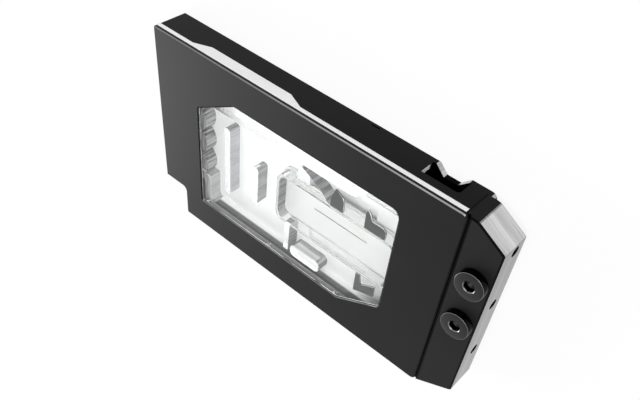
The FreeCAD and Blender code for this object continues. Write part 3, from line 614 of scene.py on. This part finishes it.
def make_port_thread(name, centre, material):
    """The thread's ridge in an open rear port, wound up from a three-cornered section, which
    is one and a half times its radius deep and has its flat side in the bore's wall."""
    section_r = thread_depth / 1.5
    section_x = port_r - section_r / 2 + thread_sink
    bpy.ops.object.select_all(action="DESELECT")
    bpy.ops.mesh.primitive_circle_add(vertices=3, radius=mm(section_r), fill_type="NOTHING",
                                      location=(mm(section_x), 0, 0),
                                      rotation=(math.pi / 2, -math.pi / 2, 0))
    bpy.ops.object.transform_apply(location=True, rotation=True, scale=True)
    piece = bpy.context.object
    winding = piece.modifiers.new("winding", "SCREW")
    winding.axis = "Z"
    winding.screw_offset = mm(thread_pitch)
    winding.iterations = thread_turns
    winding.steps = thread_steps
    winding.render_steps = thread_steps
    bpy.ops.object.modifier_apply(modifier=winding.name)
    bpy.ops.transform.translate(value=(mm(centre[0]), mm(centre[1]), mm(thread_start)))
    bpy.ops.object.transform_apply(location=True, rotation=True, scale=True)
    bpy.ops.object.mode_set(mode="EDIT")
    bpy.ops.mesh.select_all(action="SELECT")
    bpy.ops.mesh.fill_holes(sides=3)
    bpy.ops.object.mode_set(mode="OBJECT")
    face_outwards()
    bpy.ops.object.shade_smooth_by_angle(angle=smooth_angle)
    finish_piece(piece, name, material)


# Surroundings

def shows_background(tree):
    """1 for a ray that shows the studio itself, straight, in metal or through acrylic."""
    return where_any(tree, *[add(tree, "ShaderNodeLightPath", output=kind) for kind in
                             ("Is Camera Ray", "Is Glossy Ray", "Is Transmission Ray")])


def make_floor():
    """Floor of matt white paper, which shows almost even white and keeps the shadow."""
    bpy.ops.object.select_all(action="DESELECT")
    bpy.ops.mesh.primitive_plane_add(size=floor_size, location=(0, 0, mm(-floor_drop)))
    floor = bpy.context.object
    floor.name = "studio_floor"
    material, tree = new_material("white studio floor")
    paper = add(tree, "ShaderNodeBsdfDiffuse", {"Color": linear("f2f2f2")})
    white = add(tree, "ShaderNodeEmission", {"Color": linear("ffffff"), "Strength": 1.0})
    share = add(tree, "ShaderNodeMath", {0: shows_background(tree), 1: floor_white_share},
                operation="MULTIPLY")
    skin = add(tree, "ShaderNodeMixShader", {0: share, 1: paper, 2: white})
    add(tree, "ShaderNodeOutputMaterial", {"Surface": skin})
    floor.data.materials.append(material)


def make_sky():
    """Even pale light from all round, behind which the studio shows white."""
    world = bpy.data.worlds.new("white studio")
    bpy.context.scene.world = world
    world.use_nodes = True
    tree = world.node_tree
    tree.nodes.clear()
    level = add(tree, "ShaderNodeMapRange",
                {"Value": shows_background(tree), "To Min": sky_level, "To Max": 1.0})
    glow = add(tree, "ShaderNodeBackground", {"Color": linear("ffffff"), "Strength": level})
    add(tree, "ShaderNodeOutputWorld", {"Surface": glow})


def add_softbox(name, place, size, power):
    """Softbox that looks at the block."""
    data = bpy.data.lights.new(name, "AREA")
    data.shape = "RECTANGLE"
    data.size = size[0]
    data.size_y = size[1]
    data.energy = power
    lamp = bpy.data.objects.new(name, data)
    bpy.context.collection.objects.link(lamp)
    turn = (-Vector(place)).to_track_quat("-Z", "Y").to_matrix().to_4x4()
    lamp.matrix_world = Matrix.Translation(place) @ turn


def make_camera():
    """Camera at the photograph's viewing angle."""
    data = bpy.data.cameras.new("camera")
    data.sensor_width = sensor_width
    data.sensor_fit = "HORIZONTAL"
    data.lens = camera_lens
    data.shift_y = camera_shift_up
    data.clip_start = 0.01
    data.clip_end = 20.0
    camera = bpy.data.objects.new("camera", data)
    bpy.context.collection.objects.link(camera)
    axes = (Vector(camera_right), -Vector(camera_down), -Vector(camera_ahead))
    turn = Matrix(axes).transposed().to_4x4()
    camera.matrix_world = Matrix.Translation(camera_place) @ turn
    bpy.context.scene.camera = camera


acetal = make_acetal()
seal = make_smooth("clear silicone seal", "f4f4f2", 0.4, clear=0.2)
rubber = make_smooth("black rubber ring", "141414", 0.5)
steel = make_small_metal("plain steel screws", "8a8a8c", "b4b4b6", 0.25, 0.4)
black_steel = make_small_metal("black oxide screws", "1c1c1d", "2b2b2c", 0.3, 0.45)
dress({
    "faceplate": make_plate_finish(),
    "light_bar": make_opal(),
    "led_board": make_smooth("white solder mask", "dfe2de", 0.35),
    "led_chips": make_smooth("lamp resin", "e8e2c0", 0.2),
    "housing": make_frame_finish(),
    "window_block": make_clear(),
    "upper_left_baffle": acetal,
    "upper_right_baffle": acetal,
    "lower_baffle": acetal,
    "main_seal": seal,
    "jet_gasket": seal,
    "jet_plate": make_nickel("nickel plated sheet", "c2c2c1"),
    "cold_plate": make_nickel("nickel plating", "dededd"),
    "plate_screws": steel,
    "faceplate_screws": steel,
    "standoffs": make_small_metal("turned brass", "b08d4a", "cdb06c", 0.2, 0.32),
    "terminal": make_terminal_finish(),
    "terminal_screws": black_steel,
    "inlet_port_seal": seal,
    "outlet_port_seal": seal,
    "inlet_stop_plug": black_steel,
    "outlet_stop_plug": black_steel,
    "inlet_plug_ring": rubber,
    "outlet_plug_ring": rubber,
})

# The baffles cast no shadow, so the nickel behind them is as white as in the photograph
for baffle in ("upper_left_baffle", "upper_right_baffle", "lower_baffle"):
    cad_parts[baffle].visible_shadow = False

make_stop_plug("outlet_plug", "outlet_stop_plug", (port_x, outlet_y))
make_stop_plug("inlet_plug", "inlet_stop_plug", (port_x, inlet_y))
thread_finish = make_thread_finish()
make_port_thread("outlet_port_thread", (port_x, outlet_y), thread_finish)
make_port_thread("inlet_port_thread", (port_x, inlet_y), thread_finish)

make_floor()
make_sky()
add_softbox("key", key_place, key_size, key_power)
add_softbox("top", top_place, top_size, top_power)
make_camera()
bpy.context.scene.view_settings.view_transform = "Standard"
